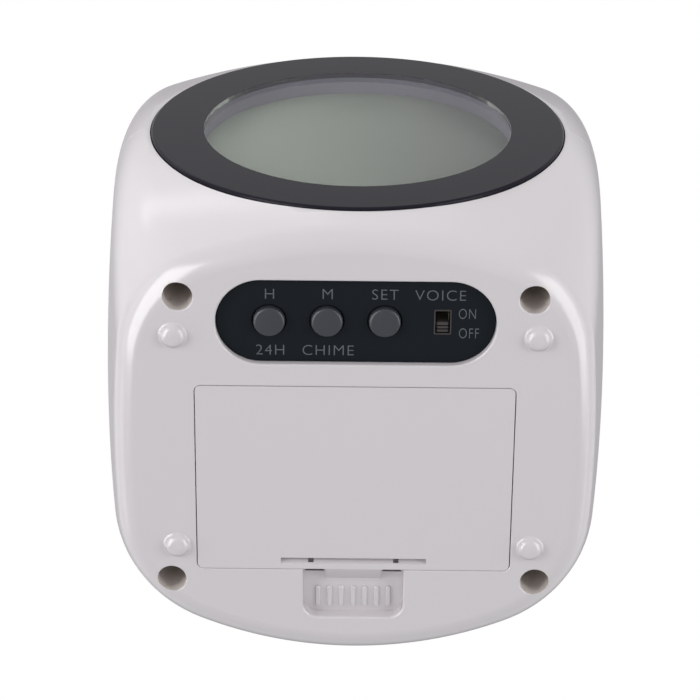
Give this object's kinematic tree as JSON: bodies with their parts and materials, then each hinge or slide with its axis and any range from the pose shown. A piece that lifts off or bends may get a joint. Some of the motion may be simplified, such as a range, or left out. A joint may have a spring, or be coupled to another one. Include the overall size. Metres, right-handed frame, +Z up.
{
  "type": "talking clock",
  "caption": "Rounded-cube talking clock with a round sunk display, a big talk button on top, a sunk strip with push buttons and a slide switch under the base, and a battery door.",
  "frame": {"origin": "on the table plane under the middle of the case, the plane of the four feet", "axes": "+Z up, out of the talk button; the display looks along -Y; +X to the right as seen from the display side"},
  "size_m": [0.087, 0.0908, 0.0869],
  "materials": {
    "case_plastic": "gloss",
    "ring_plastic": "satin",
    "clear_window": "clear",
    "grey_plastic": "satin",
    "display_glass": "satin",
    "guide_plastic": "clear",
    "white_plastic": "satin",
    "contact_rubber": "matte",
    "board_laminate": "satin",
    "black_resin": "matte",
    "plated_steel": "plated",
    "bright_metal": "bright",
    "panel_plastic": "satin",
    "button_plastic": "satin",
    "talk_plastic": "satin",
    "cell_jacket": "satin",
    "speaker_film": "matte",
    "magnet_iron": "matte",
    "ribbon_film": "satin"
  },
  "bodies": {
    "case": {"lower_case": "case_plastic", "upper_case": "case_plastic", "case_screws": "plated_steel", "bezel_ring": "ring_plastic", "window_lens": "clear_window", "display_shroud": "grey_plastic", "lcd_glass": "display_glass", "light_guide": "guide_plastic", "backlight_leds": "guide_plastic", "elastomer_strip": "contact_rubber", "display_frame": "white_plastic", "display_board": "board_laminate", "clock_chip": "black_resin", "speech_chip": "black_resin", "crystal_can": "bright_metal", "filter_capacitor": "black_resin", "control_panel": "panel_plastic", "key_switches": "black_resin", "slide_switch": "bright_metal", "control_board": "board_laminate", "front_cell": "cell_jacket", "middle_cell": "cell_jacket", "rear_cell": "cell_jacket", "left_contacts": "bright_metal", "right_contacts": "bright_metal", "speaker_basket": "plated_steel", "speaker_film": "speaker_film", "speaker_magnet": "magnet_iron", "talk_key_switch": "black_resin", "talk_board": "board_laminate", "board_ribbon": "ribbon_film", "talk_ribbon": "ribbon_film"},
    "hour_button_body": {"hour_button": "button_plastic", "hour_plunger": "white_plastic"},
    "minute_button_body": {"minute_button": "button_plastic", "minute_plunger": "white_plastic"},
    "mode_button_body": {"mode_button": "button_plastic", "mode_plunger": "white_plastic"},
    "switch_knob_body": {"switch_knob": "button_plastic"},
    "battery_door_body": {"battery_door": "case_plastic"},
    "talk_button_body": {"talk_button": "talk_plastic", "talk_plunger": "white_plastic"}
  },
  "joints": [
    {"name": "hour_press", "type": "slide", "parent": "case", "child": "hour_button_body", "axis": [0, 0, 1], "range_m": [0, 0.0008], "stiffness_N_per_m": 300, "springref_m": -0.0006},
    {"name": "minute_press", "type": "slide", "parent": "case", "child": "minute_button_body", "axis": [0, 0, 1], "range_m": [0, 0.0008], "stiffness_N_per_m": 300, "springref_m": -0.0006},
    {"name": "mode_press", "type": "slide", "parent": "case", "child": "mode_button_body", "axis": [0, 0, 1], "range_m": [0, 0.0008], "stiffness_N_per_m": 300, "springref_m": -0.0006},
    {"name": "switch_slide", "type": "slide", "parent": "case", "child": "switch_knob_body", "axis": [0, -1, 0], "range_m": [0, 0.002]},
    {"name": "door_hinge", "type": "hinge", "parent": "case", "child": "battery_door_body", "pos_m": [0, -0.016, 0.0011], "axis": [-1, 0, 0], "range_deg": [0, 70]},
    {"name": "talk_press", "type": "slide", "parent": "case", "child": "talk_button_body", "axis": [0, 0, -1], "range_m": [0, 0.0015], "stiffness_N_per_m": 500, "springref_m": -0.001}
  ]
}
